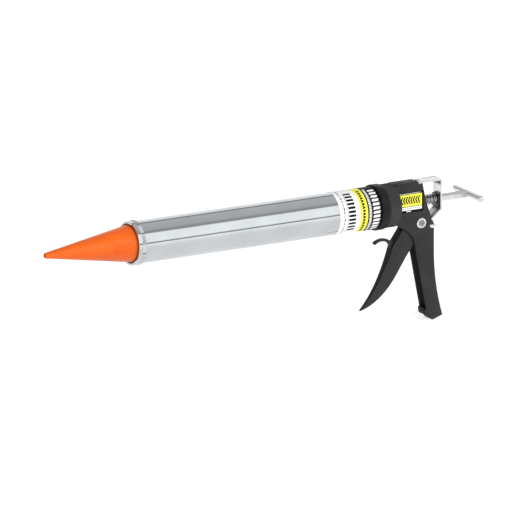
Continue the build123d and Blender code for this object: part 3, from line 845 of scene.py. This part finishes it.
def oiled_steel():
    material, shader = new_material("oiled_steel", (0.30, 0.30, 0.32), 0.3, 1.0)
    vary_color(material, shader, noise(material, 500.0), (0.20, 0.20, 0.22), (0.38, 0.38, 0.40))
    vary_roughness(material, shader, noise(material, 350.0), 0.24, 0.42)
    return material


pivot_edge = 0.12 * mm
darker_steel = oiled_steel()
for node, name, metal in (("pivot_washers", "cup_washers", zinc),
                          ("pivot_bolt", "pivot_screw", darker_steel),
                          ("pivot_nut", "pivot_lock_nut", darker_steel)):
    finish_piece(name, rounded_copy(node, pivot_edge), metal, "handle", "bright_steel", node)


# ---- Inner pieces that keep their CAD shape -------------------------------------------------
# Hardened plates, roller, pins and bushes inside the box, and the piston on the rod's front.


def black_rubber():
    material, shader = new_material("black_rubber", (0.02, 0.02, 0.02), 0.7)
    vary_roughness(material, shader, noise(material, 300.0), 0.6, 0.8)
    add_bump(material, shader, noise(material, 900.0), 0.2, 0.05 * mm)
    return material


def hardened_steel():
    material, shader = new_material("hardened_steel", (0.2, 0.2, 0.22), 0.4, 1.0)
    vary_color(material, shader, noise(material, 90.0), (0.14, 0.14, 0.17), (0.26, 0.25, 0.25))
    vary_roughness(material, shader, noise(material, 400.0), 0.32, 0.5)
    return material


def sintered_bronze():
    material, shader = new_material("sintered_bronze", (0.55, 0.38, 0.17), 0.45, 1.0)
    vary_color(material, shader, noise(material, 700.0), (0.45, 0.30, 0.13), (0.6, 0.43, 0.2))
    add_bump(material, shader, noise(material, 1500.0), 0.2, 0.03 * mm)
    return material


def pale_nylon():
    material, shader = new_material("pale_nylon", (0.8, 0.78, 0.72), 0.4)
    vary_color(material, shader, noise(material, 100.0), (0.76, 0.74, 0.68), (0.83, 0.81, 0.76))
    return material


rubber = black_rubber()
hard_steel = hardened_steel()
kept = {"nozzle_gasket": rubber, "piston_cup": rubber, "swivel_washer": pale_nylon(),
        "front_bush": sintered_bronze(), "drive_plates": hard_steel, "retaining_ring": drawn_wire,
        "pivot_bush": zinc, "trigger_roller": hard_steel, "roller_pin": hard_steel,
        "piston_nut": zinc, "piston_front_washer": zinc, "piston_rear_washer": zinc}
for node, material in kept.items():
    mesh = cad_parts[node].data
    mesh.materials.clear()
    mesh.materials.append(material)


# ---- Floor, light and camera ----------------------------------------------------------------
# A pale glowing floor with a painted shadow along the gun, in even studio light, seen from the
# nozzle's side through a long lens.

floor_z = cad_bounds[0][2]
floor_size = 12.0
floor_middle = 0.3
floor_shape = bmesh.new()
bmesh.ops.create_grid(floor_shape, x_segments=1, y_segments=1, size=floor_size,
                      matrix=Matrix.Translation((floor_middle, 0, floor_z)))
floor_mesh = bpy.data.meshes.new("floor")
floor_shape.to_mesh(floor_mesh)
floor_shape.free()
floor_material, floor_shader = new_material("pale_floor", (0.9, 0.9, 0.9), 0.9)
floor_shader.inputs["Specular IOR Level"].default_value = 0.0
floor_shader.inputs["Emission Color"].default_value = (1, 1, 1, 1)
# painted shadow: the floor glows less within 0.25 m of the gun's axis, rising to full glow at 1.2
# m, so it is darker near the gun and in the metal's reflections
floor_distance = add_node(floor_material, "ShaderNodeSeparateXYZ")
floor_reach = add_node(floor_material, "ShaderNodeMath", operation="ABSOLUTE")
floor_glow_shaded = add_node(floor_material, "ShaderNodeMapRange")
floor_glow_shaded.inputs["From Min"].default_value = 0.25
floor_glow_shaded.inputs["From Max"].default_value = 1.2
floor_glow_shaded.inputs["To Min"].default_value = 0.70
floor_glow_shaded.inputs["To Max"].default_value = 1.0
connect(floor_material, object_coordinates(floor_material), floor_distance.inputs["Vector"])
connect(floor_material, floor_distance.outputs["Y"], floor_reach.inputs[0])
connect(floor_material, floor_reach.outputs["Value"], floor_glow_shaded.inputs["Value"])
connect(floor_material, floor_glow_shaded.outputs["Result"], floor_shader.inputs["Emission Strength"])
vary_color(floor_material, floor_shader, noise(floor_material, 3.0), (0.49,) * 3, (0.51,) * 3)
floor_mesh.materials.append(floor_material)
floor = bpy.data.objects.new("floor", floor_mesh)
bpy.context.scene.collection.objects.link(floor)

# The studio: a large soft screen in front, a grey ceiling and a pale wall behind.
world = bpy.data.worlds.new("studio")
bpy.context.scene.world = world
world.use_nodes = True
sky = world.node_tree
direction = sky.nodes.new("ShaderNodeTexCoord")
split = sky.nodes.new("ShaderNodeSeparateXYZ")
facing = sky.nodes.new("ShaderNodeMath")
facing.operation = "MULTIPLY"
facing.inputs[1].default_value = -1.0
height_angle = sky.nodes.new("ShaderNodeMath")
height_angle.operation = "ARCTAN2"
turn = sky.nodes.new("ShaderNodeMapRange")
turn.inputs["From Min"].default_value = -pi
turn.inputs["From Max"].default_value = pi
bands = sky.nodes.new("ShaderNodeValToRGB")
sky.links.new(direction.outputs["Generated"], split.inputs["Vector"])
sky.links.new(split.outputs["Y"], facing.inputs[0])
sky.links.new(split.outputs["Z"], height_angle.inputs[0])
sky.links.new(facing.outputs["Value"], height_angle.inputs[1])
sky.links.new(height_angle.outputs["Value"], turn.inputs["Value"])
sky.links.new(turn.outputs["Result"], bands.inputs["Fac"])
# the side in front of the nozzle is hung with grey cloth
shade = sky.nodes.new("ShaderNodeMapRange")
shade.inputs["From Min"].default_value = -0.2
shade.inputs["From Max"].default_value = 0.12
shade.inputs["To Min"].default_value = 0.5
shade.inputs["To Max"].default_value = 1.0
sky.links.new(split.outputs["X"], shade.inputs["Value"])
sky.links.new(shade.outputs["Result"], sky.nodes["Background"].inputs["Strength"])
sky.links.new(bands.outputs["Color"], sky.nodes["Background"].inputs["Color"])
# seen past the floor's edge, the studio is one plain pale backdrop
ray = sky.nodes.new("ShaderNodeLightPath")
backdrop = sky.nodes.new("ShaderNodeBackground")
backdrop.inputs["Color"].default_value = (1, 1, 1, 1)
surround = sky.nodes.new("ShaderNodeMixShader")
sky.links.new(ray.outputs["Is Camera Ray"], surround.inputs["Fac"])
sky.links.new(sky.nodes["Background"].outputs["Background"], surround.inputs[1])
sky.links.new(backdrop.outputs["Background"], surround.inputs[2])
sky.links.new(surround.outputs["Shader"], sky.nodes["World Output"].inputs["Surface"])
# each band's angle up from the front, in degrees, and its light
studio_bands = ((-10, 0.5), (6, 0.45), (7.5, 1.47), (53, 1.45), (57, 0.48), (66, 0.48),
                (76, 0.68), (120, 0.74), (127, 0.55), (130, 0.28), (135, 0.28), (138, 1.15),
                (180, 1.15))
ramp = bands.color_ramp
while len(ramp.elements) > 1:
    ramp.elements.remove(ramp.elements[-1])
for index, (degrees, light) in enumerate(studio_bands):
    position = (degrees + 180) / 360
    element = ramp.elements[0] if index == 0 else ramp.elements.new(position)
    element.position = position
    element.color = (light, light, light, 1)

lamp_data = bpy.data.lights.new("key", "SUN")
lamp_data.energy = 1.2
lamp_data.angle = radians(40)
lamp = bpy.data.objects.new("key", lamp_data)
lamp.rotation_euler = Vector((0.15, -0.85, 0.5)).to_track_quat("Z", "Y").to_euler()
lamp.visible_glossy = False
bpy.context.scene.collection.objects.link(lamp)

aim = Vector((0.2896, 0.0, -0.0450))
distance = 15.0
azimuth = radians(-29.6)
elevation = radians(15.2)
view = Vector((sin(azimuth) * cos(elevation), -cos(azimuth) * cos(elevation), sin(elevation)))
camera_data = bpy.data.cameras.new("camera")
camera_data.lens = 881.0
camera_data.sensor_width = 36.0
camera_data.clip_end = 100.0
camera = bpy.data.objects.new("camera", camera_data)
bpy.context.scene.collection.objects.link(camera)
camera.location = aim + view * distance
camera.rotation_euler = view.to_track_quat("Z", "Y").to_euler()
bpy.context.scene.camera = camera
bpy.context.scene.view_settings.view_transform = "Standard"
